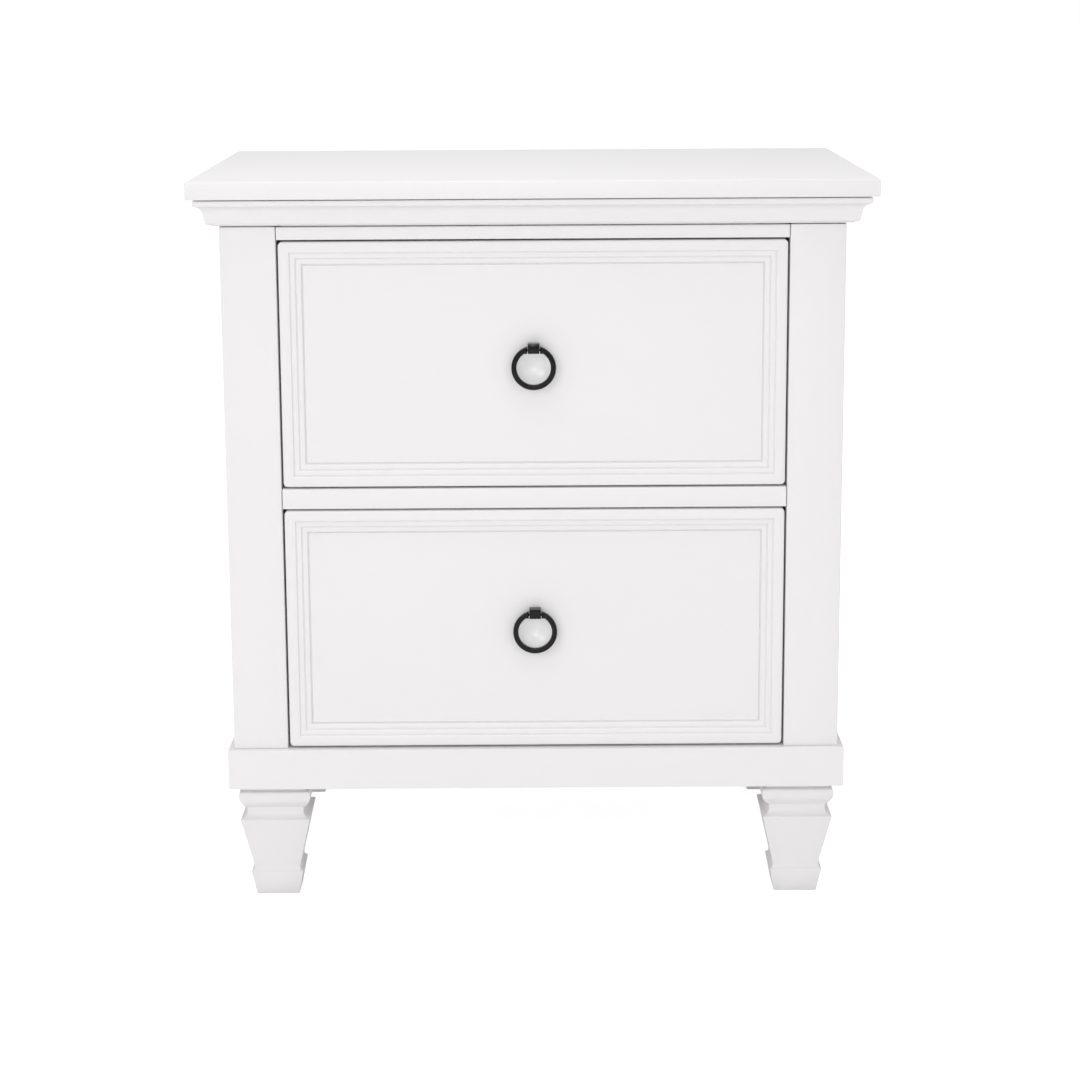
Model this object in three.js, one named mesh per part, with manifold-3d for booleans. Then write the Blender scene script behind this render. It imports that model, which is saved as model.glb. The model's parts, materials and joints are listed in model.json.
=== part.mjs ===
// Painted bedside cabinet with two drawers on four square tapered feet.
// Millimetres, +Z up, front facing -Y, origin on the floor under the middle of the top panel.
// Drawers run on side-mounted full-extension slides, and each has a hinged ring pull.

import * as THREE from 'three';
import { mergeVertices } from 'three/addons/utils/BufferGeometryUtils.js';
import Module from 'manifold-3d';

const wasm = await Module();
wasm.setup();

// ---------------------------------------------------------------- driving dimensions

const WIDTH = 660;
const DEPTH = 432;
const HEIGHT = 728;
const GAP = 0.3; // between pieces that touch

const TOP_THICKNESS = 17;
const TOP_OVERHANG = 28; // beyond the posts, at the front and the sides
const BACK_OVERHANG = 6;
const TOP_EDGE_ROUND = 2;

const FOOT_HEIGHT = 119;
const PLINTH_HEIGHT = 41;
const PLINTH_PROJECTION = 6;
const PLINTH_THICKNESS = 20;
const FOOT_INSET = 8.5; // from the plinth's faces to the foot's bead
const BOTTOM_THICKNESS = 18;

const POST_WIDTH = 54;
const POST_DEPTH = 42;
const SIDE_PANEL_THICKNESS = 12;
const SIDE_PANEL_RECESS = 6;
const RAIL_THICKNESS = 22;
const MIDDLE_RAIL_HEIGHT = 20;
const BACK_PANEL_THICKNESS = 6;
const BACK_PANEL_RECESS = 4;

const MOULDING_HEIGHT = 26.5;

const REVEAL = 2; // gap around each drawer front
const FRONT_HEIGHT = 241;
const FRONT_THICKNESS = 20;
const PANEL_SINK = 5.7; // panel below the frame of the drawer front

const BOX_LENGTH = 348;
const BOX_BOARD = 12;
const BOX_HEIGHT = 190;
const BOX_LIFT = 14; // box sides above the lower edge of the front
const BOX_BOTTOM_THICKNESS = 6;
const GROOVE_DEPTH = 6;
const GROOVE_LIFT = 10;

const SLIDE_THICKNESS = 12.7;
const SLIDE_HEIGHT = 45;
const SLIDE_LENGTH = 350;
const SLIDE_WALL = 1.2;
const CLEAT_HEIGHT = 60;

const RING_RADIUS = 21.8;
const RING_BAND = 4.9;
const RING_CHORD = 13.9; // straight inner edge, above the ring's centre
const PIN_ABOVE_RING = 17.2;
const PIN_ABOVE_MIDDLE = 14.2; // pin above the middle of the drawer front
const PIN_STAND_OFF = 6.5; // pin in front of the sunk panel
const PIN_RADIUS = 1.1;
const PIN_LENGTH = 18.4;
const POST_BLOCK = { width: 11.4, height: 9.3, reach: 12.5, belowPin: 2.6 };
const CUP_RADIUS = 18.4;
const CUP_DEPTH = 7;
const CUP_WALL = 0.8;
const SCREW_RADIUS = 1.5;
const SCREW_ABOVE_PIN = 4.2;

// ---------------------------------------------------------------- levels and faces

const topUnderside = HEIGHT - TOP_THICKNESS;
const plinthTop = FOOT_HEIGHT + PLINTH_HEIGHT;
const lowerFrontBase = plinthTop + REVEAL;
const middleRailBase = lowerFrontBase + FRONT_HEIGHT + REVEAL;
const upperFrontBase = middleRailBase + MIDDLE_RAIL_HEIGHT + REVEAL;
const topRailBase = upperFrontBase + FRONT_HEIGHT + REVEAL;

const caseHalfWidth = WIDTH / 2 - TOP_OVERHANG;
const caseFront = -DEPTH / 2 + TOP_OVERHANG;
const caseBack = DEPTH / 2 - BACK_OVERHANG;
const caseDepth = caseBack - caseFront;
const openingHalf = caseHalfWidth - POST_WIDTH;
const frontHalfWidth = openingHalf - REVEAL;
const plinthHalfWidth = caseHalfWidth + PLINTH_PROJECTION;
const plinthFront = caseFront - PLINTH_PROJECTION;

const frontBack = caseFront + FRONT_THICKNESS; // rear face of a drawer front
const panelFace = caseFront + PANEL_SINK;
const boxHalfWidth = openingHalf - SLIDE_THICKNESS - GAP;
const boxEnd = frontBack + BOX_LENGTH;
const slideFront = frontBack + 2;

// ---------------------------------------------------------------- materials

function finish(color, roughness, metalness = 0) {
  return new THREE.MeshStandardMaterial({ color, roughness, metalness });
}

const whitePaint = finish(0xf1f0ef, 0.45);
const bareBirch = finish(0xd9bf98, 0.7);
const plywood = finish(0xcdb083, 0.75);
const zincSteel = finish(0xb4b8bc, 0.35, 0.9);
const blackMetal = finish(0x1b1a19, 0.42, 0.7);
const whiteEnamel = finish(0xf6f6f6, 0.12);

// ---------------------------------------------------------------- shape helpers

function box(x, y, z) {
  const geometry = new THREE.BoxGeometry(x[1] - x[0], y[1] - y[0], z[1] - z[0]);
  return geometry.translate((x[0] + x[1]) / 2, (y[0] + y[1]) / 2, (z[0] + z[1]) / 2);
}

// The span of a piece on one side: side is -1 for left and 1 for right.
function sideSpan(side, inner, outer) {
  return side > 0 ? [inner, outer] : [-outer, -inner];
}

// Rectangles stacked along Z, each [half width, half depth, height], joined by mitred faces.
function rectangleStack(levels) {
  const positions = [];
  for (const [halfX, halfY, z] of levels) {
    positions.push(-halfX, -halfY, z, halfX, -halfY, z, halfX, halfY, z, -halfX, halfY, z);
  }
  const index = [0, 2, 1, 0, 3, 2];
  for (let level = 1; level < levels.length; level += 1) {
    const below = 4 * (level - 1);
    const above = 4 * level;
    for (let corner = 0; corner < 4; corner += 1) {
      const next = (corner + 1) % 4;
      index.push(below + corner, below + next, above + next);
      index.push(below + corner, above + next, above + corner);
    }
  }
  const last = 4 * (levels.length - 1);
  index.push(last, last + 1, last + 2, last, last + 2, last + 3);
  const geometry = new THREE.BufferGeometry();
  geometry.setAttribute('position', new THREE.Float32BufferAttribute(positions, 3));
  geometry.setIndex(index);
  geometry.computeVertexNormals();
  return geometry;
}

function toManifold(geometry) {
  const bare = geometry.clone();
  bare.deleteAttribute('normal');
  bare.deleteAttribute('uv');
  const merged = mergeVertices(bare, 1e-4);
  const vertProperties = Float32Array.from(merged.attributes.position.array);
  const triVerts = Uint32Array.from(merged.index.array);
  return new wasm.Manifold(new wasm.Mesh({ numProp: 3, vertProperties, triVerts }));
}

function cut(geometry, ...tools) {
  let result = toManifold(geometry);
  for (const tool of tools) {
    result = result.subtract(toManifold(tool));
  }
  const mesh = result.getMesh();
  const cutGeometry = new THREE.BufferGeometry();
  cutGeometry.setAttribute('position', new THREE.Float32BufferAttribute(mesh.vertProperties, 3));
  cutGeometry.setIndex(Array.from(mesh.triVerts));
  cutGeometry.computeVertexNormals();
  return cutGeometry;
}

function outline(points) {
  return new THREE.Shape(points.map(([x, y]) => new THREE.Vector2(x, y)));
}

// An outline in the X-Z plane run along Y from the back towards the front.
function runForward(shape, back, length) {
  const geometry = new THREE.ExtrudeGeometry(shape, { depth: length, bevelEnabled: false });
  return geometry.rotateX(Math.PI / 2).translate(0, back, 0);
}

function rodAlongY(radius, y, segments = 24) {
  const geometry = new THREE.CylinderGeometry(radius, radius, y[1] - y[0], segments);
  return geometry.translate(0, (y[0] + y[1]) / 2, 0);
}

function rodAlongX(radius, x, segments = 24) {
  const geometry = new THREE.CylinderGeometry(radius, radius, x[1] - x[0], segments);
  return geometry.rotateZ(Math.PI / 2).translate((x[0] + x[1]) / 2, 0, 0);
}

// ---------------------------------------------------------------- the group of named pieces

const nightstand = new THREE.Group();

function add(name, geometry, material, position = [0, 0, 0]) {
  const mesh = new THREE.Mesh(geometry, material);
  mesh.name = name;
  mesh.position.set(...position);
  nightstand.add(mesh);
}

const SIDES = [['left', -1], ['right', 1]];

// ---------------------------------------------------------------- top panel and crown moulding

add('top_panel', rectangleStack([
  [WIDTH / 2 - TOP_EDGE_ROUND, DEPTH / 2 - TOP_EDGE_ROUND, 0],
  [WIDTH / 2, DEPTH / 2, TOP_EDGE_ROUND],
  [WIDTH / 2, DEPTH / 2, TOP_THICKNESS - TOP_EDGE_ROUND],
  [WIDTH / 2 - TOP_EDGE_ROUND, DEPTH / 2 - TOP_EDGE_ROUND, TOP_THICKNESS],
]), whitePaint, [0, 0, topUnderside]);

// Section of the crown moulding: how far it stands out from the case, against its height.
function mouldingSection() {
  const shape = new THREE.Shape();
  shape.moveTo(GAP, 0);
  shape.lineTo(8.5, 0);
  shape.quadraticCurveTo(11, 0.8, 11.8, 5);
  shape.lineTo(13.5, 11.5);
  shape.absarc(22, 11.5, 8.5, Math.PI, Math.PI / 2, true);
  shape.lineTo(22, MOULDING_HEIGHT - GAP);
  shape.lineTo(GAP, MOULDING_HEIGHT - GAP);
  shape.closePath();
  return shape;
}

// A straight run of moulding. Its ends are square or mitred at 45 degrees.
function mouldingRun(length, mitredStart, mitredEnd) {
  const geometry = new THREE.ExtrudeGeometry(mouldingSection(), {
    depth: length,
    bevelEnabled: false,
    curveSegments: 5,
  });
  const position = geometry.attributes.position;
  for (let i = 0; i < position.count; i += 1) {
    const out = position.getX(i) - GAP;
    const along = position.getZ(i);
    if (along < length / 2 && mitredStart) {
      position.setZ(i, along - out);
    }
    if (along > length / 2 && mitredEnd) {
      position.setZ(i, along + out);
    }
  }
  geometry.computeVertexNormals();
  return geometry;
}

function placeRun(geometry, outward, origin) {
  const up = new THREE.Vector3(0, 0, 1);
  const along = new THREE.Vector3().crossVectors(outward, up);
  const frame = new THREE.Matrix4().makeBasis(outward, up, along);
  return geometry.applyMatrix4(frame).translate(...origin);
}

const mouldingBase = topUnderside - MOULDING_HEIGHT;
add('crown_moulding_front', placeRun(
  mouldingRun(2 * caseHalfWidth, true, true),
  new THREE.Vector3(0, -1, 0),
  [caseHalfWidth, caseFront, mouldingBase],
), whitePaint);
add('crown_moulding_left', placeRun(
  mouldingRun(caseDepth, true, false),
  new THREE.Vector3(-1, 0, 0),
  [-caseHalfWidth, caseFront, mouldingBase],
), whitePaint);
add('crown_moulding_right', placeRun(
  mouldingRun(caseDepth, false, true),
  new THREE.Vector3(1, 0, 0),
  [caseHalfWidth, caseBack, mouldingBase],
), whitePaint);

// ---------------------------------------------------------------- case

const postHeight = [plinthTop + GAP, topUnderside - GAP];
const frontPostDepth = [caseFront, caseFront + POST_DEPTH];
const backPostDepth = [caseBack - POST_DEPTH, caseBack];
const betweenPosts = [frontPostDepth[1] + GAP, backPostDepth[0] - GAP];
const panelOuter = caseHalfWidth - SIDE_PANEL_RECESS;
const panelInner = panelOuter - SIDE_PANEL_THICKNESS;
const railSpan = [-openingHalf + GAP, openingHalf - GAP];
const backPanelFace = caseBack - BACK_PANEL_RECESS;

for (const [label, side] of SIDES) {
  const postSpan = sideSpan(side, openingHalf, caseHalfWidth);
  add(`post_front_${label}`, box(postSpan, frontPostDepth, postHeight), whitePaint);
  add(`post_back_${label}`, box(postSpan, backPostDepth, postHeight), whitePaint);
  const panelSpan = sideSpan(side, panelInner, panelOuter);
  add(`side_panel_${label}`, box(panelSpan, betweenPosts, postHeight), whitePaint);
}

const railDepth = [caseFront, caseFront + RAIL_THICKNESS];
const topRailHeight = [topRailBase, topUnderside - GAP];
const middleRailHeight = [middleRailBase, middleRailBase + MIDDLE_RAIL_HEIGHT];
const backPanelDepth = [backPanelFace - BACK_PANEL_THICKNESS, backPanelFace];
const backRailDepth = [backPanelDepth[0] - GAP - RAIL_THICKNESS, backPanelDepth[0] - GAP];
add('top_rail_front', box(railSpan, railDepth, topRailHeight), whitePaint);
add('middle_rail_front', box(railSpan, railDepth, middleRailHeight), whitePaint);
add('top_rail_back', box(railSpan, backRailDepth, topRailHeight), bareBirch);
add('back_panel', box(railSpan, backPanelDepth, postHeight), plywood);

// ---------------------------------------------------------------- plinth, bottom and feet

const plinthLevels = [FOOT_HEIGHT + GAP, plinthTop];
const plinthInner = plinthHalfWidth - PLINTH_THICKNESS;
const plinthFrontDepth = [plinthFront, plinthFront + PLINTH_THICKNESS];
const plinthBackDepth = [caseBack - PLINTH_THICKNESS, caseBack];
add('plinth_front', box([-plinthHalfWidth, plinthHalfWidth], plinthFrontDepth, plinthLevels), whitePaint);
add('plinth_back', box([-plinthInner + GAP, plinthInner - GAP], plinthBackDepth, plinthLevels), whitePaint);
for (const [label, side] of SIDES) {
  const span = sideSpan(side, plinthInner, plinthHalfWidth);
  add(`plinth_${label}`, box(span, [plinthFrontDepth[1] + GAP, caseBack], plinthLevels), whitePaint);
}
add('case_bottom', box(
  [-plinthInner + GAP, plinthInner - GAP],
  [plinthFrontDepth[1] + GAP, plinthBackDepth[0] - GAP],
  [FOOT_HEIGHT + GAP, FOOT_HEIGHT + GAP + BOTTOM_THICKNESS],
), whitePaint);

// Half width of the square foot against height: lip, straight taper, neck, bead and a recess
// that keeps a shadow line under the plinth.
const footProfile = [
  [21.6, 0], [24, 14], [26.2, 24], [26, 26.5], [23.2, 28.5], [23.6, 33],
  [34.6, 81.5], [34.8, 83], [30.6, 87], [28.4, 90.5], [28.6, 94.5],
  [31.6, 98], [34.6, 102], [36, 108.5], [35.4, 113.4], [31.8, 114.4], [31.8, FOOT_HEIGHT],
];
const BEAD_HALF = 36;
const footX = plinthHalfWidth - FOOT_INSET - BEAD_HALF;
const footFrontY = plinthFront + FOOT_INSET + BEAD_HALF;
const footBackY = caseBack - FOOT_INSET - BEAD_HALF;
for (const [depthLabel, y] of [['front', footFrontY], ['back', footBackY]]) {
  for (const [label, side] of SIDES) {
    const foot = rectangleStack(footProfile.map(([half, z]) => [half, half, z]));
    add(`foot_${depthLabel}_${label}`, foot, whitePaint, [side * footX, y, 0]);
  }
}

// ---------------------------------------------------------------- slides

// A channel section open towards `mouth`, its web against `web`.
function channelSection(web, mouth, halfHeight) {
  const wall = Math.sign(mouth - web) * SLIDE_WALL;
  return outline([
    [web, -halfHeight], [mouth, -halfHeight],
    [mouth, -halfHeight + SLIDE_WALL], [web + wall, -halfHeight + SLIDE_WALL],
    [web + wall, halfHeight - SLIDE_WALL], [mouth, halfHeight - SLIDE_WALL],
    [mouth, halfHeight], [web, halfHeight],
  ]);
}

// Distances of each member's web and mouth from the case side of the slide.
const slideMembers = [
  ['outer', 0, 9.5, SLIDE_HEIGHT / 2],
  ['middle', 2.4, 10.9, SLIDE_HEIGHT / 2 - 3],
  ['inner', SLIDE_THICKNESS, 4.6, SLIDE_HEIGHT / 2 - 6.5],
];

function addSlides(drawerLabel, height) {
  for (const [label, side] of SIDES) {
    const cleatSpan = sideSpan(side, openingHalf + GAP, panelInner - GAP);
    const cleatLevels = [height - CLEAT_HEIGHT / 2, height + CLEAT_HEIGHT / 2];
    add(`${drawerLabel}_slide_cleat_${label}`, box(cleatSpan, betweenPosts, cleatLevels), bareBirch);
    for (const [member, web, mouth, halfHeight] of slideMembers) {
      const face = openingHalf - GAP / 2;
      const section = channelSection(side * (face - web), side * (face - mouth), halfHeight);
      const geometry = runForward(section, slideFront + SLIDE_LENGTH, SLIDE_LENGTH);
      add(`${drawerLabel}_slide_${member}_${label}`, geometry, zincSteel, [0, 0, height]);
    }
  }
}

// ---------------------------------------------------------------- drawer front

// Frame of the drawer front from its outer edge inwards: [inset, depth below the front face].
const frontProfile = [
  [0, 3], [1, 0.9], [3, 0], [9, 0], [11, 1.3], [13.6, 1.4], [16.8, 3], [20, 3.1], [23.7, PANEL_SINK],
];

function drawerFront(pinHeight, ringHeight) {
  const halfHeight = FRONT_HEIGHT / 2;
  const levels = frontProfile.map(([inset, sink]) => (
    [frontHalfWidth - inset, halfHeight - inset, FRONT_THICKNESS - sink]
  ));
  levels.unshift([frontHalfWidth, halfHeight, 0]);
  const board = rectangleStack(levels).rotateX(Math.PI / 2).translate(0, frontBack, 0);
  const cupBore = rodAlongY(CUP_RADIUS + GAP, [panelFace - 1, panelFace + CUP_DEPTH + 2], 48);
  const screwBore = rodAlongY(SCREW_RADIUS + GAP, [panelFace - 1, frontBack + 1]);
  const grooveBase = -halfHeight + BOX_LIFT + GROOVE_LIFT;
  const groove = box(
    [-boxHalfWidth + BOX_BOARD - GROOVE_DEPTH, boxHalfWidth - BOX_BOARD + GROOVE_DEPTH],
    [frontBack - GROOVE_DEPTH, frontBack + 1],
    [grooveBase, grooveBase + BOX_BOTTOM_THICKNESS + 2 * GAP],
  );
  return cut(
    board,
    cupBore.translate(0, 0, ringHeight),
    screwBore.translate(0, 0, pinHeight + SCREW_ABOVE_PIN),
    groove,
  );
}

// ---------------------------------------------------------------- drawer box

// Cross-section of a box side, with the groove for the bottom on its inner face.
function boxSideSection(side) {
  const outer = side * boxHalfWidth;
  const inner = side * (boxHalfWidth - BOX_BOARD);
  const grooveFloor = side * (boxHalfWidth - BOX_BOARD + GROOVE_DEPTH);
  const grooveTop = GROOVE_LIFT + BOX_BOTTOM_THICKNESS + 2 * GAP;
  return outline([
    [outer, 0], [outer, BOX_HEIGHT], [inner, BOX_HEIGHT], [inner, grooveTop],
    [grooveFloor, grooveTop], [grooveFloor, GROOVE_LIFT], [inner, GROOVE_LIFT], [inner, 0],
  ]);
}

function addDrawerBox(drawerLabel, base) {
  const boxBase = base + BOX_LIFT;
  const innerHalf = boxHalfWidth - BOX_BOARD - GAP;
  for (const [label, side] of SIDES) {
    const board = runForward(boxSideSection(side), boxEnd, BOX_LENGTH - GAP);
    add(`${drawerLabel}_drawer_side_${label}`, board, bareBirch, [0, 0, boxBase]);
  }
  const bottomBase = boxBase + GROOVE_LIFT + GAP;
  const bottomTop = bottomBase + BOX_BOTTOM_THICKNESS;
  const bottomHalf = innerHalf + GROOVE_DEPTH;
  add(`${drawerLabel}_drawer_bottom`, box(
    [-bottomHalf, bottomHalf],
    [frontBack - GROOVE_DEPTH + GAP, boxEnd],
    [bottomBase, bottomTop],
  ), plywood);
  add(`${drawerLabel}_drawer_back`, box(
    [-innerHalf, innerHalf],
    [boxEnd - BOX_BOARD, boxEnd],
    [bottomTop + GAP, boxBase + BOX_HEIGHT],
  ), bareBirch);
}

// ---------------------------------------------------------------- ring pull

// A ring with a straight inner edge at the top, split there to straddle the post block.
function ringGeometry() {
  const inner = RING_RADIUS - RING_BAND;
  const cheek = POST_BLOCK.width / 2 + 2 * GAP;
  const outerAngle = Math.acos(cheek / RING_RADIUS);
  const innerAngle = Math.asin(RING_CHORD / inner);
  const shape = new THREE.Shape();
  shape.moveTo(cheek, Math.sqrt(RING_RADIUS ** 2 - cheek ** 2));
  shape.absarc(0, 0, RING_RADIUS, outerAngle, Math.PI - outerAngle, true);
  shape.lineTo(-cheek, RING_CHORD);
  shape.lineTo(-inner * Math.cos(innerAngle), RING_CHORD);
  shape.absarc(0, 0, inner, Math.PI - innerAngle, innerAngle, false);
  shape.lineTo(cheek, RING_CHORD);
  shape.closePath();
  const round = 0.9;
  const geometry = new THREE.ExtrudeGeometry(shape, {
    depth: RING_BAND - 2 * round,
    bevelThickness: round,
    bevelSize: round,
    bevelOffset: -round,
    bevelSegments: 2,
    curveSegments: 24,
  });
  geometry.translate(0, 0, -RING_BAND / 2 + round);
  geometry.rotateX(Math.PI / 2).translate(0, 0, -PIN_ABOVE_RING);
  const reach = PIN_LENGTH / 2 + GAP;
  return cut(geometry, rodAlongX(PIN_RADIUS + GAP, [-reach, reach]));
}

function postBlockGeometry() {
  const edge = 0.5;
  const { width, height, reach, belowPin } = POST_BLOCK;
  const middle = height / 2 - belowPin;
  const block = rectangleStack([
    [width / 2, height / 2, 0],
    [width / 2, height / 2, reach - edge],
    [width / 2 - edge, height / 2 - edge, reach],
  ]).rotateX(Math.PI / 2).translate(0, -GAP, middle);
  const pinBore = rodAlongX(PIN_RADIUS + GAP, [-width, width]).translate(0, -PIN_STAND_OFF, 0);
  const screwBore = rodAlongY(SCREW_RADIUS + GAP, [-8, 1]).translate(0, 0, SCREW_ABOVE_PIN);
  return cut(block, pinBore, screwBore);
}

// A shallow spherical dish with a thin wall, its mouth at y = 0 facing -Y.
function cupGeometry() {
  const mouth = CUP_RADIUS - CUP_WALL;
  const sphere = (mouth ** 2 + CUP_DEPTH ** 2) / (2 * CUP_DEPTH);
  const steps = 8;
  const insideDish = [];
  const outsideDish = [];
  for (let i = 0; i <= steps; i += 1) {
    const radius = (mouth * i) / steps;
    const floor = sphere - CUP_DEPTH - Math.sqrt(sphere ** 2 - radius ** 2);
    insideDish.push(new THREE.Vector2(radius, floor));
    outsideDish.push(new THREE.Vector2((CUP_RADIUS * i) / steps, floor - CUP_WALL));
  }
  const profile = [...outsideDish, ...insideDish.reverse()];
  return new THREE.LatheGeometry(profile, 48).rotateX(Math.PI);
}

function screwGeometry() {
  const headRadius = 3;
  const headThickness = 2;
  const tip = -7 - (frontBack - panelFace);
  const profile = [
    [0, tip], [SCREW_RADIUS, tip], [SCREW_RADIUS, GAP], [headRadius, GAP],
    [headRadius, GAP + headThickness * 0.6], [headRadius * 0.6, GAP + headThickness],
    [0, GAP + headThickness],
  ];
  return new THREE.LatheGeometry(profile.map(([r, y]) => new THREE.Vector2(r, y)), 24);
}

function addPull(drawerLabel, pinHeight, ringHeight) {
  const pinY = panelFace - PIN_STAND_OFF;
  const pin = rodAlongX(PIN_RADIUS, [-PIN_LENGTH / 2, PIN_LENGTH / 2]);
  add(`${drawerLabel}_pull_ring`, ringGeometry(), blackMetal, [0, pinY, pinHeight]);
  add(`${drawerLabel}_pull_post`, postBlockGeometry(), blackMetal, [0, panelFace, pinHeight]);
  add(`${drawerLabel}_pull_pin`, pin, blackMetal, [0, pinY, pinHeight]);
  add(`${drawerLabel}_pull_cup`, cupGeometry(), whiteEnamel, [0, panelFace + GAP, ringHeight]);
  const screwHeight = pinHeight + SCREW_ABOVE_PIN;
  add(`${drawerLabel}_pull_screw`, screwGeometry(), zincSteel, [0, frontBack, screwHeight]);
}

// ---------------------------------------------------------------- the two drawers

for (const [drawerLabel, base] of [['upper', upperFrontBase], ['lower', lowerFrontBase]]) {
  const middle = base + FRONT_HEIGHT / 2;
  const pinHeight = middle + PIN_ABOVE_MIDDLE;
  const ringHeight = pinHeight - PIN_ABOVE_RING;
  const front = drawerFront(PIN_ABOVE_MIDDLE, PIN_ABOVE_MIDDLE - PIN_ABOVE_RING);
  add(`${drawerLabel}_drawer_front`, front, whitePaint, [0, 0, middle]);
  addDrawerBox(drawerLabel, base);
  addSlides(drawerLabel, base + BOX_LIFT + BOX_HEIGHT / 2);
  addPull(drawerLabel, pinHeight, ringHeight);
}

export default nightstand;
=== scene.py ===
# Painted nightstand with two drawers and ring pulls: its visible surfaces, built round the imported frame.
# Metres, +Z up, drawers facing -Y. Each section makes one kind of piece.

import json
import math

import bmesh
import bpy
from mathutils import Matrix, Vector


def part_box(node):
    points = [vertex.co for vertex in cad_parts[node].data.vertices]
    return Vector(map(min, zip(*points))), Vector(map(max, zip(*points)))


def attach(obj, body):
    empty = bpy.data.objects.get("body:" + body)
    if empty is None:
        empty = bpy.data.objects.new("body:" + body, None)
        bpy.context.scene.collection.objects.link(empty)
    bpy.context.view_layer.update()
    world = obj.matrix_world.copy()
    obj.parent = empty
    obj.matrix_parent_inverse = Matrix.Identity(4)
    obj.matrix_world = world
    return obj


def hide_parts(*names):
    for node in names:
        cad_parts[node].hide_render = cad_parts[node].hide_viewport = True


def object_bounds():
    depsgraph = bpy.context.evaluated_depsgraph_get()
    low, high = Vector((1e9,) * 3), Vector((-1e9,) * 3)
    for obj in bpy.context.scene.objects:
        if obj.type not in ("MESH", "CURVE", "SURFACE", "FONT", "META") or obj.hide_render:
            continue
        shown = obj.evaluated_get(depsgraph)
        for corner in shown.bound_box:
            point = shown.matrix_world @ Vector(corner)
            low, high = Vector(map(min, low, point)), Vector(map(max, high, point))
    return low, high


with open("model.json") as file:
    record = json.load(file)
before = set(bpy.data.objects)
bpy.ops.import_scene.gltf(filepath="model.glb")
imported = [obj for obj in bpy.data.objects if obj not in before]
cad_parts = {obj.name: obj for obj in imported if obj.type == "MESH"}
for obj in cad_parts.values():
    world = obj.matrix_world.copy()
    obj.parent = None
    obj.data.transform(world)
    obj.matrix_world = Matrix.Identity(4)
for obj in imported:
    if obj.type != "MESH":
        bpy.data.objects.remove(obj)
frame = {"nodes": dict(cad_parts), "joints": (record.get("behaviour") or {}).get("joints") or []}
cad_low, cad_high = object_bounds()

MM = 0.001
QUARTER = math.pi / 2

# ------------------------------------------------------------------ camera, floor and light

CAMERA_PLACE = (0.0001, -2.516, 0.915)
CAMERA_TILT_DOWN = 10.818
CAMERA_TURN = -0.139
CAMERA_ROLL = -0.309
CAMERA_LENS = 80.82
CAMERA_SHIFT = -0.09

FLOOR_HALF = 40.0
SOFT_LIGHTS = [
    # name, place, watts, size
    ("left_softbox", (-1.7, -2.5, 1.8), 14.6, 1.2),
    ("right_softbox", (1.7, -2.5, 1.6), 6.3, 1.2),
    ("front_softbox", (-0.1, -3.3, 1.1), 12.2, 0.8),
    ("overhead_softbox", (-0.2, -0.2, 2.9), 30.5, 2.2),
]
ROOM_LIGHT = 0.6


def set_camera():
    data = bpy.data.cameras.new("camera")
    data.lens = CAMERA_LENS
    data.shift_y = CAMERA_SHIFT
    camera = bpy.data.objects.new("camera", data)
    tilt = Matrix.Rotation(QUARTER - math.radians(CAMERA_TILT_DOWN), 4, "X")
    turn = Matrix.Rotation(math.radians(CAMERA_TURN), 4, "Z")
    roll = Matrix.Rotation(math.radians(CAMERA_ROLL), 4, "Z")
    camera.matrix_world = Matrix.Translation(CAMERA_PLACE) @ turn @ tilt @ roll
    bpy.context.scene.collection.objects.link(camera)
    bpy.context.scene.camera = camera


def set_lights():
    aim = Vector((0, 0, cad_high.z / 2))
    for name, place, watts, size in SOFT_LIGHTS:
        data = bpy.data.lights.new(name, "AREA")
        data.energy = watts
        data.size = size
        light = bpy.data.objects.new(name, data)
        light.location = place
        light.rotation_mode = "QUATERNION"
        light.rotation_quaternion = (aim - light.location).to_track_quat("-Z", "Y")
        bpy.context.scene.collection.objects.link(light)
    bpy.context.scene.view_settings.view_transform = "Standard"


def set_room():
    """A dim even room with a white backdrop."""
    world = bpy.data.worlds.new("room")
    world.use_nodes = True
    nodes = world.node_tree.nodes
    links = world.node_tree.links
    seen = nodes.new("ShaderNodeLightPath")
    strength = nodes.new("ShaderNodeMapRange")
    strength.inputs["To Min"].default_value = ROOM_LIGHT
    strength.inputs["To Max"].default_value = 1.0
    links.new(seen.outputs["Is Camera Ray"], strength.inputs["Value"])
    links.new(strength.outputs["Result"], nodes["Background"].inputs["Strength"])
    nodes["Background"].inputs["Color"].default_value = (1, 1, 1, 1)
    bpy.context.scene.world = world


# ------------------------------------------------------------------ shader arithmetic


class Value:
    """A number that varies over the surface, usable in Python arithmetic."""

    def __init__(self, finish, socket):
        self.finish = finish
        self.socket = socket

    def __add__(self, other):
        return self.finish.math("ADD", self, other)

    def __sub__(self, other):
        return self.finish.math("SUBTRACT", self, other)

    def __rsub__(self, other):
        return self.finish.math("SUBTRACT", other, self)

    def __mul__(self, other):
        return self.finish.math("MULTIPLY", self, other)

    __radd__ = __add__
    __rmul__ = __mul__


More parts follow.
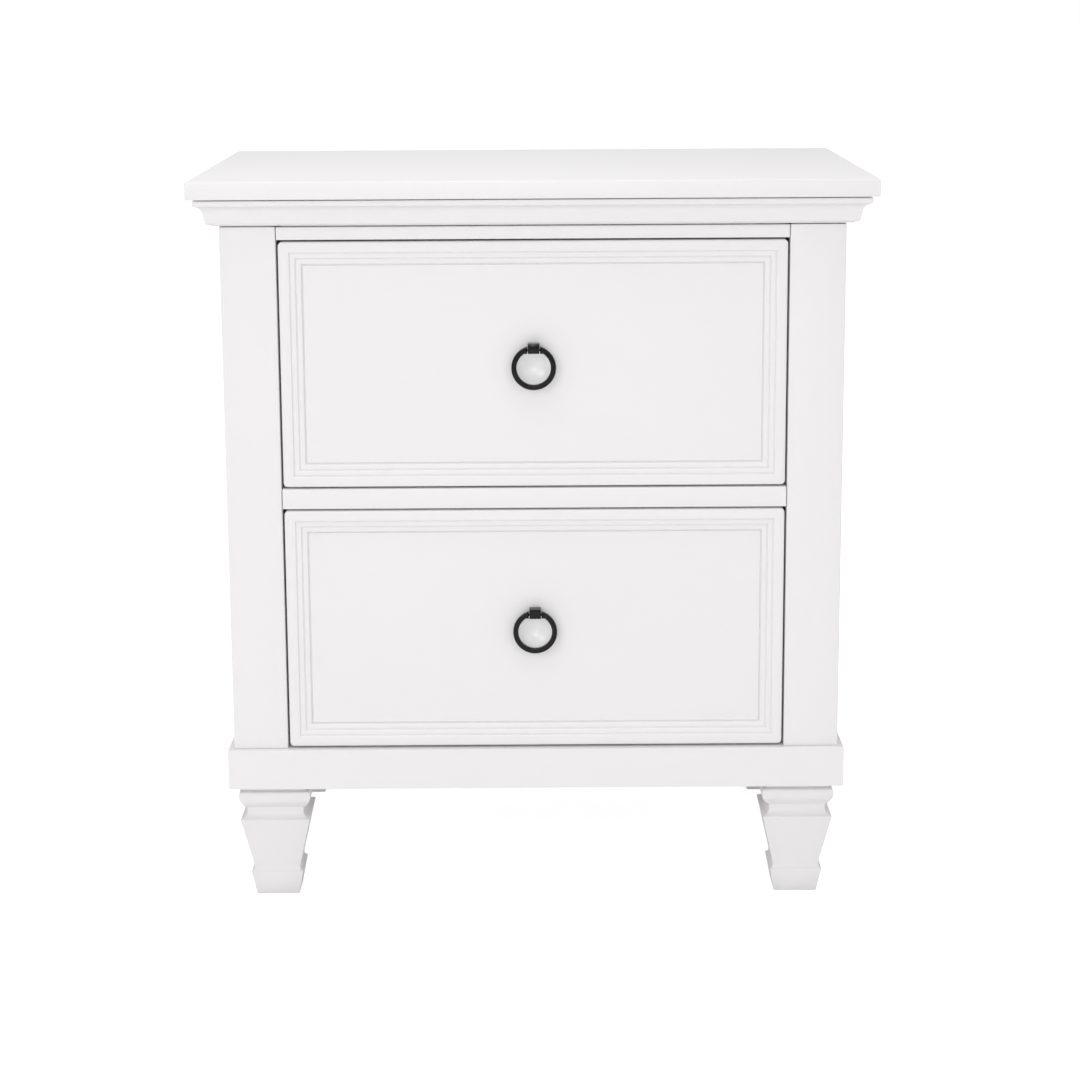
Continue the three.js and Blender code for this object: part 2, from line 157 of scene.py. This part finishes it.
class Finish:
    """A material in the making. Every node comes from node()."""

    def __init__(self, name):
        self.material = bpy.data.materials.new(name)
        self.material.use_nodes = True
        self.tree = self.material.node_tree
        self.shader = self.tree.nodes["Principled BSDF"]

    def node(self, kind, settings=None, inputs=None, output=0):
        made = self.tree.nodes.new(kind)
        for key, value in (settings or {}).items():
            if key == "stops":
                self.set_stops(made.color_ramp, value)
            else:
                setattr(made, key, value)
        for key, value in (inputs or {}).items():
            self.feed(made.inputs[key], value)
        return Value(self, made.outputs[output])

    def set_stops(self, ramp, stops):
        while len(ramp.elements) < len(stops):
            ramp.elements.new(1.0)
        for element, (place, colour) in zip(ramp.elements, stops):
            element.position = place
            element.color = (*colour, 1.0)

    def feed(self, socket, value):
        if isinstance(value, Value):
            self.tree.links.new(value.socket, socket)
        else:
            socket.default_value = value

    def math(self, operation, a, b):
        return self.node("ShaderNodeMath", {"operation": operation}, {0: a, 1: b})

    def place(self, scale=(1, 1, 1), turn=(0, 0, 0)):
        """Object coordinates, stretched and turned."""
        spot = self.node("ShaderNodeTexCoord", output="Object")
        return self.node(
            "ShaderNodeMapping", inputs={"Vector": spot, "Scale": scale, "Rotation": turn}
        )

    def noise(self, where, scale, detail=2.0, rough=0.5, distortion=0.0):
        sockets = {"Vector": where, "Scale": scale, "Detail": detail}
        sockets.update({"Roughness": rough, "Distortion": distortion})
        return self.node("ShaderNodeTexNoise", inputs=sockets)

    def ramp(self, factor, stops):
        return self.node("ShaderNodeValToRGB", {"stops": stops}, {0: factor})

    def blend(self, factor, first, second):
        """Colour going from first to second as the factor goes from 0 to 1."""
        sockets = {0: factor, 6: first, 7: second}
        return self.node("ShaderNodeMix", {"data_type": "RGBA"}, sockets, output=2)

    def bump(self, height, depth, strength=1.0, under=None):
        sockets = {"Height": height, "Distance": depth, "Strength": strength}
        if under is not None:
            sockets["Normal"] = under
        return self.node("ShaderNodeBump", inputs=sockets)

    def set(self, **sockets):
        for name, value in sockets.items():
            self.feed(self.shader.inputs[name.replace("_", " ")], value)


def grey(level, warmth=0.0):
    return (level, level * (1 - warmth), level * (1 - 1.4 * warmth), 1.0)


# ------------------------------------------------------------------ finishes

LACQUER_LIGHT = (0.832, 0.817, 0.823, 1.0)
LACQUER_DEEP = (0.808, 0.793, 0.798, 1.0)


def stretched(along, length_scale, cross_scale):
    """Mapping scale for a pattern drawn out along one axis of the piece."""
    scale = [cross_scale] * 3
    scale["XYZ".index(along)] = length_scale
    return tuple(scale)


def white_lacquer(along):
    """Sprayed satin lacquer on wood, with the grain just telling through it."""
    f = Finish(f"white_lacquer_{along.lower()}")
    grain = f.noise(f.place(stretched(along, 0.05, 1.0)), 420, 4, 0.62)
    cloud = f.noise(f.place(), 5.5, 3, 0.5)
    peel = f.noise(f.place(), 1100, 2, 0.5)
    flow = f.noise(f.place(), 85, 2, 0.4)
    tone = cloud * 0.7 + grain * 0.3
    colour = f.blend(tone, LACQUER_DEEP, LACQUER_LIGHT)
    grain_relief = f.bump(grain, 0.05 * MM, 0.2)
    relief = f.bump(peel * 0.5 + flow, 0.04 * MM, 0.4, under=grain_relief)
    f.set(Base_Color=colour, Roughness=0.34 + 0.12 * flow, Normal=relief)
    f.set(IOR=1.48)
    return f.material


def black_satin():
    """Smooth black lacquered metal, very slightly brown where the coating is thin."""
    f = Finish("black_satin")
    speck = f.noise(f.place(), 2600, 3, 0.6)
    cloud = f.noise(f.place(), 120, 3, 0.55)
    colour = f.blend(cloud, (0.0045, 0.0042, 0.0045, 1), (0.0105, 0.0095, 0.0095, 1))
    f.set(Base_Color=colour, Roughness=0.09 + 0.08 * cloud)
    f.set(Normal=f.bump(speck, 0.02 * MM, 0.4))
    f.set(IOR=1.32)
    return f.material


def white_enamel():
    """Fired white enamel, glossy, with the slight pooling of a dipped coat."""
    f = Finish("white_enamel")
    pool = f.noise(f.place(), 95, 2, 0.45)
    colour = f.blend(pool, grey(0.95, 0.002), grey(0.97, 0.0))
    f.set(Base_Color=colour, Roughness=0.27 + 0.08 * pool)
    f.set(Normal=f.bump(pool, 0.1 * MM, 0.45))
    f.set(IOR=1.9)
    return f.material


def planed_birch(along):
    """Clear-grained birch, planed and left bare."""
    f = Finish(f"planed_birch_{along.lower()}")
    wander = f.noise(f.place(stretched(along, 0.25, 1.0)), 9, 3, 0.5, 0.6)
    figure = f.noise(f.place(stretched(along, 0.045, 1.0)), 130, 5, 0.6, 0.4)
    pores = f.noise(f.place(stretched(along, 0.02, 1.0)), 1500, 3, 0.55)
    board = wander * 0.45 + figure * 0.55
    colour = f.ramp(
        board,
        [
            (0.30, (0.47, 0.315, 0.175)),
            (0.47, (0.62, 0.45, 0.275)),
            (0.60, (0.70, 0.54, 0.355)),
            (0.75, (0.76, 0.615, 0.43)),
        ],
    )
    darker = f.blend(pores, (0.86, 0.84, 0.80, 1), (1, 1, 1, 1))
    tinted = f.node(
        "ShaderNodeMix",
        {"data_type": "RGBA", "blend_type": "MULTIPLY"},
        {0: 0.8, 6: colour, 7: darker},
        output=2,
    )
    relief = f.bump(pores * 0.6 + figure * 0.4, 0.15 * MM, 0.4)
    f.set(Base_Color=tinted, Roughness=0.5 + 0.14 * figure, Normal=relief)
    return f.material


def bare_plywood(along, across):
    """Rotary-cut face veneer: broad wavy figure, a little greyer than solid birch."""
    f = Finish(f"bare_plywood_{along.lower()}")
    wave = f.node(
        "ShaderNodeTexWave",
        {"wave_type": "BANDS", "bands_direction": across},
        {
            "Vector": f.place(stretched(along, 0.12, 1.0)),
            "Scale": 7,
            "Distortion": 16,
            "Detail": 5,
            "Detail Scale": 1.1,
            "Detail Roughness": 0.6,
        },
    )
    fibre = f.noise(f.place(stretched(along, 0.02, 1.0)), 900, 4, 0.65)
    colour = f.ramp(
        wave * 0.35 + fibre * 0.65,
        [
            (0.20, (0.54, 0.395, 0.245)),
            (0.5, (0.625, 0.475, 0.305)),
            (0.80, (0.675, 0.535, 0.36)),
        ],
    )
    f.set(Base_Color=colour, Roughness=0.6 + 0.12 * fibre)
    f.set(Normal=f.bump(fibre, 0.12 * MM, 0.4))
    return f.material


def zinc_plate():
    """Bright zinc plating on rolled strip, with faint rolling lines along the slide."""
    f = Finish("zinc_plate")
    lines = f.noise(f.place(stretched("Y", 0.012, 1.0)), 2300, 3, 0.6)
    cloud = f.noise(f.place(), 60, 3, 0.5)
    colour = f.blend(cloud, (0.52, 0.53, 0.55, 1), (0.66, 0.67, 0.68, 1))
    f.set(Base_Color=colour, Metallic=1.0, Roughness=0.22 + 0.2 * lines + 0.08 * cloud)
    f.set(Normal=f.bump(lines, 0.02 * MM, 0.4))
    return f.material


def pale_floor():
    """Matt white sweep, seen bright enough to leave only a light contact shadow."""
    f = Finish("pale_floor")
    cloud = f.noise(f.place(), 1.3, 3, 0.5)
    f.set(Base_Color=f.blend(cloud, grey(0.92), grey(0.95)), Roughness=0.7 + 0.1 * cloud)
    seen = f.node("ShaderNodeLightPath", output="Is Camera Ray")
    f.set(Emission_Color=f.blend(seen, grey(0.0), grey(0.58)), Emission_Strength=1.0)
    return f.material


LACQUER = {along: white_lacquer(along) for along in "XYZ"}
BIRCH = {along: planed_birch(along) for along in "XYZ"}
PLYWOOD = {"X": bare_plywood("X", "Y"), "Z": bare_plywood("Z", "X")}
BLACK = black_satin()
ENAMEL = white_enamel()
ZINC = zinc_plate()

# ------------------------------------------------------------------ making a piece

SMOOTH_UNDER = math.radians(32)
# Distances under this count as none.
HAIR = 0.001 * MM


def settle(bm, name, body, material, nodes=()):
    """Turns a finished bmesh into a smooth-shaded piece that rides on a body."""
    bmesh.ops.remove_doubles(bm, verts=bm.verts, dist=2 * HAIR)
    bmesh.ops.recalc_face_normals(bm, faces=bm.faces)
    mesh = bpy.data.meshes.new(name)
    bm.to_mesh(mesh)
    bm.free()
    mesh.shade_smooth()
    mesh.set_sharp_from_angle(angle=SMOOTH_UNDER)
    mesh.materials.append(material)
    piece = bpy.data.objects.new(name, mesh)
    bpy.context.scene.collection.objects.link(piece)
    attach(piece, body)
    if nodes:
        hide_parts(*nodes)
    return piece


def round_edges(bm, edges, radius, segments):
    bmesh.ops.bevel(
        bm,
        geom=list(edges),
        offset=radius,
        offset_type="OFFSET",
        segments=segments,
        profile=0.5,
        affect="EDGES",
        material=-1,
        clamp_overlap=True,
    )


def solid_box(low, high):
    bm = bmesh.new()
    bmesh.ops.create_cube(bm, size=1)
    bmesh.ops.scale(bm, vec=Vector(high) - Vector(low), verts=bm.verts)
    bmesh.ops.translate(bm, vec=(Vector(low) + Vector(high)) / 2, verts=bm.verts)
    return bm


def edges_along(bm, axis):
    """The edges that run along one axis."""
    chosen = []
    for edge in bm.edges:
        run = (edge.verts[0].co - edge.verts[1].co).normalized()
        if abs(run["XYZ".index(axis)]) > 0.99:
            chosen.append(edge)
    return chosen


def board(name, node, slot, material, ease=1.0 * MM, body="case", along=None, trim=0.0):
    """A plain board in the place of a node, its edges eased, or only those along one axis."""
    low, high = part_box(node)
    low.x += trim
    high.x -= trim
    bm = solid_box(low, high)
    round_edges(bm, edges_along(bm, along) if along else bm.edges, ease, 3)
    return settle(bm, name, body, material, [node])


def shouldered_board(name, node, shoulder, material, ease, along, trim=0.0):
    """A board of the case whose top end steps back behind the crown moulding."""
    low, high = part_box(node)
    low.x += trim
    high.x -= trim
    bm = solid_box(low, (high.x, high.y, shoulder))
    round_edges(bm, edges_along(bm, along), ease, 3)
    top = max(bm.faces, key=lambda face: face.calc_center_median().z)
    bmesh.ops.inset_region(bm, faces=[top], thickness=SHOULDER_STEP, use_even_offset=True)
    push_up(bm, top, high.z - shoulder)
    return settle(bm, name, "case", material, [node])


def push_up(bm, face, height):
    made = bmesh.ops.extrude_face_region(bm, geom=[face])["geom"]
    verts = [item for item in made if isinstance(item, bmesh.types.BMVert)]
    bmesh.ops.translate(bm, vec=(0, 0, height), verts=verts)


def edge_span(edge):
    """How far an edge reaches along each axis."""
    return Vector([abs(gap) for gap in edge.verts[0].co - edge.verts[1].co])


def face_of(bm, points):
    return bm.faces.new([bm.verts.new(point) for point in points])


def push(bm, face, travel):
    """Extrudes a face into a prism and gives the far face."""
    made = bmesh.ops.extrude_face_region(bm, geom=[face], use_keep_orig=True)["geom"]
    verts = [item for item in made if isinstance(item, bmesh.types.BMVert)]
    bmesh.ops.translate(bm, vec=travel, verts=verts)
    return next(item for item in made if isinstance(item, bmesh.types.BMFace))


def arc(centre, radius, start, end, steps):
    """Points on an arc, angles in degrees, ends included."""
    points = []
    for i in range(steps + 1):
        angle = math.radians(start + (end - start) * i / steps)
        points.append(
            (centre[0] + radius * math.cos(angle), centre[1] + radius * math.sin(angle))
        )
    return points


# ------------------------------------------------------------------ top and crown moulding

TOP_EDGE_RADIUS = 0.9 * MM
# Length left past a mitre before it is sawn off.
MITRE_WASTE = 60 * MM


def make_top():
    bm = solid_box(*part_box("top_panel"))
    round_edges(bm, bm.edges, TOP_EDGE_RADIUS, 5)
    settle(bm, "top_board", "case", LACQUER["X"], ["top_panel"])


def moulding_section(height):
    """Crown moulding as (out from the case, up) points, with a thin gap left under the top."""
    top = height / MM
    section = [(0.0, 0.0), (6.4, 0.0), (6.4, 1.3)]
    section += arc((8.6, 4.6), 3.3, -82, -6, 6)
    section += [(13.4, 11.0)]
    section += arc((22.0, 11.0), 8.6, 178, 96, 10)
    section += arc((21.6, 20.3), 0.5, -80, 0, 2)
    section += arc((21.6, top - 1.9), 0.5, 0, 90, 2)
    section += [(14.0, top - 1.4), (14.0, top), (0.0, top)]
    return [(out * MM, up * MM) for out, up in section]


def make_moulding():
    """Three runs round the front and sides, sawn to 45 degrees where they meet."""
    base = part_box("crown_moulding_front")[0].z
    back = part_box("crown_moulding_left")[1].y
    front_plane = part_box("post_front_left")[0].y
    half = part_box("post_front_right")[1].x
    section = moulding_section(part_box("top_panel")[0].z - base)

    bm = bmesh.new()
    run = half + MITRE_WASTE
    face = face_of(bm, [(-run, front_plane - out, base + up) for out, up in section])
    push(bm, face, (2 * run, 0, 0))
    for side in (-1, 1):
        cut_mitre(bm, (side * half, front_plane, 0), (side, 1, 0))
    settle(bm, "moulding_front", "case", LACQUER["X"], ["crown_moulding_front"])

    for label, side in (("left", -1), ("right", 1)):
        bm = bmesh.new()
        start = front_plane - MITRE_WASTE
        face = face_of(bm, [(side * (half + out), start, base + up) for out, up in section])
        push(bm, face, (0, back - start, 0))
        cut_mitre(bm, (side * half, front_plane, 0), (-side, -1, 0))
        node = f"crown_moulding_{label}"
        settle(bm, f"moulding_{label}", "case", LACQUER["Y"], [node])


def cut_mitre(bm, point, away):
    """Cuts off everything on the away side of a plane, and closes the end."""
    geom = bm.verts[:] + bm.edges[:] + bm.faces[:]
    cut = bmesh.ops.bisect_plane(
        bm, geom=geom, plane_co=point, plane_no=Vector(away).normalized(), clear_outer=True
    )
    rim = [item for item in cut["geom_cut"] if isinstance(item, bmesh.types.BMEdge)]
    bmesh.ops.edgeloop_fill(bm, edges=rim)


# ------------------------------------------------------------------ case

POST_EASE = 1.3 * MM
RAIL_EASE = 0.9 * MM
PANEL_EASE = 0.5 * MM
SHEET_EASE = 0.3 * MM
PLINTH_EASE = 1.4 * MM
SHOULDER_STEP = 4.5 * MM
SHADOW_GAP = 1.8 * MM
JOINT_LINE = 0.5 * MM
# Anything shorter than this in a plinth board belongs to its sawn end.
SHORTEST_RUN = 100 * MM


def make_case():
    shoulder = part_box("crown_moulding_front")[0].z - SHADOW_GAP
    for side in ("left", "right"):
        node = f"post_front_{side}"
        shouldered_board(f"square_{node}", node, shoulder, LACQUER["Z"], POST_EASE, "Z")
        node = f"post_back_{side}"
        board(f"square_{node}", node, "white_paint", LACQUER["Z"], POST_EASE, along="Z")
    for side in ("left", "right"):
        node = f"side_panel_{side}"
        shouldered_board(f"flat_panel_{side}", node, shoulder, LACQUER["Z"], PANEL_EASE, "Z")
    rail = "top_rail_front"
    shouldered_board("upper_rail", rail, shoulder, LACQUER["X"], RAIL_EASE, "X", JOINT_LINE)
    rail = "middle_rail_front"
    board("between_rail", rail, "white_paint", LACQUER["X"], RAIL_EASE, along="X", trim=JOINT_LINE)
    board("rear_stretcher", "top_rail_back", "bare_birch", BIRCH["X"], RAIL_EASE)
    board("back_sheet", "back_panel", "plywood", PLYWOOD["Z"], SHEET_EASE)
    board("floor_of_case", "case_bottom", "white_paint", LACQUER["X"], PANEL_EASE)


def make_plinth():
    """Plinth boards, mitred at the front corners."""
    low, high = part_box("plinth_front")
    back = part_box("plinth_right")[1].y
    thick = high.y - low.y
    half = high.x
    bm = solid_box(low, high)
    for side in (-1, 1):
        cut_mitre(bm, (side * half, low.y, 0), (side, 1, 0))
    round_edges(bm, long_edges(bm), PLINTH_EASE, 3)
    settle(bm, "skirt_front", "case", LACQUER["X"], ["plinth_front"])
    for label, side in (("left", -1), ("right", 1)):
        ends = sorted((side * (half - thick), side * half))
        bm = solid_box((ends[0], low.y, low.z), (ends[1], back, high.z))
        cut_mitre(bm, (side * half, low.y, 0), (-side, -1, 0))
        round_edges(bm, long_edges(bm), PLINTH_EASE, 3)
        settle(bm, f"skirt_{label}", "case", LACQUER["Y"], [f"plinth_{label}"])
    board("skirt_back", "plinth_back", "white_paint", LACQUER["X"], PLINTH_EASE, along="X")


def long_edges(bm):
    """Edges that run along the board, not those of its mitred ends."""
    level = edges_along(bm, "X") + edges_along(bm, "Y")
    return [edge for edge in level if edge.calc_length() > SHORTEST_RUN]


# ------------------------------------------------------------------ feet

CORNERS = ("front_left", "front_right", "back_left", "back_right")
MITRE_EASE = 0.8 * MM


def foot_outline(height):
    """Half width against height of the square foot, from the floor up."""
    outline = [(20.8, 0.0), (21.6, 0.8), (26.3, 25.0)]
    outline += arc((26.7, 29.0), 3.5, 262, 180, 6)
    outline += [(23.2, 31.0), (34.7, 82.6), (34.9, 83.3)]
    outline += arc((35.4, 91.2), 7.2, 263, 165, 9)
    outline += [(28.6, 95.4), (31.6, 97.4)]
    outline += arc((24.4, 107.4), 11.6, -31, 14, 8)
    outline += arc((33.6, 111.2), 2.0, 10, 90, 4)
    outline += [(31.0, 113.4), (31.0, height / MM)]
    return [(half * MM, up * MM) for half, up in outline]


def make_feet():
    """Each foot is a square drawn up step by step, wider or narrower at every step."""
    for place in CORNERS:
        low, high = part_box(f"foot_{place}")
        centre = (low + high) / 2
        spot = Matrix.Translation((centre.x, centre.y, low.z))
        square_on = Matrix.Rotation(QUARTER / 2, 4, "Z")
        outline = foot_outline(high.z - low.z)
        last_half, last_up = outline[0]
        bm = bmesh.new()
        bmesh.ops.create_circle(
            bm,
            cap_ends=True,
            segments=4,
            radius=last_half * math.sqrt(2),
            matrix=spot @ square_on,
        )
        face = bm.faces[:][0]
        for half, up in outline[1:]:
            face = push(bm, face, (0, 0, up - last_up))
            middle = Matrix.Translation(-face.calc_center_median())
            ratio = half / last_half
            bmesh.ops.scale(bm, vec=(ratio, ratio, 1), space=middle, verts=face.verts)
            last_half, last_up = half, up
        bmesh.ops.remove_doubles(bm, verts=bm.verts, dist=HAIR)
        drop_inner_faces(bm)
        rising = [edge for edge in bm.edges if edge_span(edge).z > HAIR]
        round_edges(bm, rising, MITRE_EASE, 2)
        settle(bm, f"tapered_foot_{place}", "case", LACQUER["Z"], [f"foot_{place}"])


def drop_inner_faces(bm):
    """Removes the level faces left inside a stack of prisms."""
    heights = [vert.co.z for vert in bm.verts]
    lowest, highest = min(heights), max(heights)
    inner = []
    for face in bm.faces:
        flat = abs(face.normal.z) > 0.999 and len(face.verts) == 4
        if flat and lowest + HAIR < face.calc_center_median().z < highest - HAIR:
            inner.append(face)
    bmesh.ops.delete(bm, geom=inner, context="FACES_ONLY")


# ------------------------------------------------------------------ drawer fronts

CORNER_RADIUS = 4.2 * MM
FRONT_ROUND = 2.0 * MM
CUP_PLAY = 0.05 * MM
BORE_DEPTH = 9 * MM
# Steps of the frame inwards from its flat border: (inset, sink), in millimetres.
FRAME_STEPS = [
    (8.1, 0.0),
    (1.2, 0.1), (1.0, 0.4), (0.5, 1.0), (0.25, 0.8), (0.3, 0.0), (0.6, -0.4),
    (1.7, 0.0),
    (1.2, 0.1), (1.0, 0.4), (0.5, 1.0), (0.25, 0.8), (0.3, 0.0), (0.6, -0.4),
    (1.7, 0.0),
    (1.3, 0.15), (1.1, 0.45), (0.5, 1.1), (0.3, 1.2), (0.4, 0.0), (0.8, -1.0),
]


def front_face(bm):
    """The outermost large face towards the viewer's side."""
    facing = [face for face in bm.faces if face.normal.y < -0.999]
    return max(facing, key=lambda face: face.calc_area())


def outline_edges(bm, front):
    """The edges round the rim of the front face."""
    chosen = []
    for edge in bm.edges:
        on_face = all(abs(vert.co.y - front) < HAIR for vert in edge.verts)
        on_side = any(abs(face.normal.y) < 0.01 for face in edge.link_faces)
        if on_face and on_side:
            chosen.append(edge)
    return chosen


def make_drawer_front(label):
    node = f"{label}_drawer_front"
    low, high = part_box(node)
    cup_low, cup_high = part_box(f"{label}_pull_cup")
    bm = solid_box(low, high)
    corners = edges_along(bm, "Y")
    face = front_face(bm)
    for inset, sink in FRAME_STEPS:
        step_in(bm, face, inset * MM, sink * MM)
    round_edges(bm, corners, CORNER_RADIUS, 6)
    round_edges(bm, outline_edges(bm, low.y), FRONT_ROUND, 4)
    panel = front_face(bm)
    bore_for_cup(bm, panel, (cup_low + cup_high) / 2, (cup_high.x - cup_low.x) / 2)
    name = f"{label}_framed_front"
    front = settle(bm, name, f"{label}_drawer", LACQUER["X"], [node])
    sharpen_mitres(front.data)


def sharpen_mitres(mesh):
    """Keeps the four mitre lines of the frame crisp."""
    for edge in mesh.edges:
        first, last = (mesh.vertices[index].co for index in edge.vertices)
        across, up = abs(first.x - last.x), abs(first.z - last.z)
        if across > 10 * HAIR and abs(across - up) < HAIR:
            edge.use_edge_sharp = True


def step_in(bm, face, inset, sink):
    """Insets the face and moves what is inside back by sink."""
    if inset > 0:
        bmesh.ops.inset_region(bm, faces=[face], thickness=inset, depth=0, use_even_offset=True)
    if sink:
        bmesh.ops.translate(bm, vec=(0, sink, 0), verts=face.verts)


def bore_for_cup(bm, panel, centre, radius):
    """Opens a round bore in the sunk panel, and closes its floor."""
    rim = list(panel.edges)
    level = panel.calc_center_median().y
    bmesh.ops.delete(bm, geom=[panel], context="FACES_ONLY")
    turn = Matrix.Rotation(QUARTER, 4, "X")
    place = Matrix.Translation((centre.x, level, centre.z)) @ turn
    made = bmesh.ops.create_circle(bm, segments=72, radius=radius + CUP_PLAY, matrix=place)
    ring = list({edge for vert in made["verts"] for edge in vert.link_edges})
    bmesh.ops.triangle_fill(bm, use_beauty=True, use_dissolve=False, edges=rim + ring)
    walls = bmesh.ops.extrude_edge_only(bm, edges=ring)["geom"]
    deep = [item for item in walls if isinstance(item, bmesh.types.BMVert)]
    bmesh.ops.translate(bm, vec=(0, BORE_DEPTH, 0), verts=deep)
    floor_rim = [item for item in walls if isinstance(item, bmesh.types.BMEdge)]
    floor_rim = [edge for edge in floor_rim if all(vert in set(deep) for vert in edge.verts)]
    bmesh.ops.edgeloop_fill(bm, edges=floor_rim)


# ------------------------------------------------------------------ drawer boxes

BOX_EASE = 1.2 * MM
BOTTOM_EASE = 0.4 * MM


def make_drawer_box(label):
    body = f"{label}_drawer"
    for side in ("left", "right"):
        node = f"{label}_drawer_side_{side}"
        board(f"{label}_box_side_{side}", node, "bare_birch", BIRCH["Y"], BOX_EASE, body)
    board(f"{label}_box_back", f"{label}_drawer_back", "bare_birch", BIRCH["X"], BOX_EASE, body)
    node = f"{label}_drawer_bottom"
    board(f"{label}_box_bottom", node, "plywood", PLYWOOD["X"], BOTTOM_EASE, body)


# ------------------------------------------------------------------ ring pulls


def spun(bm, profile, centre, steps):
    """Turns a (radius, forward) profile about an axis along Y through the centre."""
    start = [bm.verts.new(centre + Vector((radius, -forward, 0))) for radius, forward in profile]
    edges = [bm.edges.new(pair) for pair in zip(start, start[1:])]
    bmesh.ops.spin(
        bm,
        geom=start + edges,
        cent=centre,
        axis=(0, 1, 0),
        angle=2 * math.pi,
        steps=steps,
        use_merge=True,
        use_duplicate=False,
    )


CUP_WALL = 0.8 * MM
CUP_RIM = 1.2 * MM
CUP_LIP = 0.5 * MM


def make_cup(label):
    """A dished cup let in flush behind the ring."""
    node = f"{label}_pull_cup"
    low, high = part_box(node)
    centre = (low + high) / 2
    mouth = Vector((centre.x, low.y, centre.z))
    outer = (high.x - low.x) / 2
    depth = high.y - low.y
    inner = outer - CUP_RIM
    deep = depth - CUP_WALL
    sphere = (inner**2 + deep**2) / (2 * deep)
    spread = math.degrees(math.asin(inner / sphere))
    dish = arc((0.0, sphere - deep), sphere, -90, -90 + spread, 14)
    lip = arc((outer - CUP_LIP, -CUP_LIP), CUP_LIP, 90, 0, 4)
    shell = [(outer, -0.35 * depth), (outer * 0.72, -0.86 * depth)]
    shell += [(outer * 0.4, -depth), (0.0, -depth)]
    bm = bmesh.new()
    spun(bm, dish + lip + shell, mouth, 72)
    settle(bm, f"{label}_enamel_cup", f"{label}_drawer", ENAMEL, [node])


RING_ROUND = 1.1 * MM
RING_BAND = 5.1 * MM
CHORD_BELOW_PIN = 3.3 * MM
CHEEK_GAP = 0.55 * MM
BLOCK_EASE = 0.45 * MM


def make_ring(label):
    """A flat-topped ring, split at the top by the post block, with a rounded section."""
    node = f"{label}_pull_ring"
    low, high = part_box(node)
    outer = (high.x - low.x) / 2
    inner = outer - RING_BAND
    centre = Vector((0, (low.y + high.y) / 2, low.z + outer))
    hinge = next(joint for joint in frame["joints"] if joint["name"] == f"{label}_ring_swing")
    chord = hinge["pos_m"][2] - CHORD_BELOW_PIN - centre.z
    block_low, block_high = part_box(f"{label}_pull_post")
    cheek = (block_high.x - block_low.x) / 2 + CHEEK_GAP
    outer_angle = math.degrees(math.acos(cheek / outer))
    inner_angle = math.degrees(math.asin(chord / inner))
    outline = arc((0, 0), outer, outer_angle, -180 - outer_angle, 84)
    outline += [(-cheek, chord)]
    outline += arc((0, 0), inner, 180 - inner_angle, 360 + inner_angle, 76)
    outline += [(cheek, chord)]
    bm = bmesh.new()
    thick = high.y - low.y
    points = [centre + Vector((x, -thick / 2, z)) for x, z in outline]
    push(bm, face_of(bm, points), (0, thick, 0))
    rims = [edge for edge in bm.edges if edge_span(edge).y < HAIR]
    round_edges(bm, rims, RING_ROUND, 5)
    settle(bm, f"{label}_split_ring", f"{label}_ring", BLACK, [node])


def make_post_block(label):
    node = f"{label}_pull_post"
    bm = solid_box(*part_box(node))
    round_edges(bm, bm.edges, BLOCK_EASE, 3)
    settle(bm, f"{label}_post_block", f"{label}_drawer", BLACK, [node])


def make_pulls(label):
    make_cup(label)
    make_ring(label)
    make_post_block(label)
    finish_node(f"{label}_pull_pin", BLACK)
    finish_node(f"{label}_pull_screw", ZINC)


# ------------------------------------------------------------------ pieces kept from the frame


def finish_node(node, material):
    """Gives a kept node its finish."""
    mesh = frame["nodes"][node].data
    mesh.materials.clear()
    mesh.materials.append(material)


def finish_slides(label):
    for side in ("left", "right"):
        finish_node(f"{label}_slide_cleat_{side}", BIRCH["Y"])
        for member in ("outer", "middle", "inner"):
            finish_node(f"{label}_slide_{member}_{side}", ZINC)


# ------------------------------------------------------------------ the whole nightstand


def make_floor():
    bm = bmesh.new()
    bmesh.ops.create_grid(bm, x_segments=1, y_segments=1, size=FLOOR_HALF)
    mesh = bpy.data.meshes.new("floor")
    bm.to_mesh(mesh)
    bm.free()
    mesh.materials.append(pale_floor())
    floor = bpy.data.objects.new("floor", mesh)
    bpy.context.scene.collection.objects.link(floor)


set_camera()
set_lights()
set_room()
make_floor()
make_top()
make_moulding()
make_case()
make_plinth()
make_feet()
for drawer in ("upper", "lower"):
    make_drawer_front(drawer)
    make_drawer_box(drawer)
    make_pulls(drawer)
    finish_slides(drawer)

bpy.context.view_layer.update()
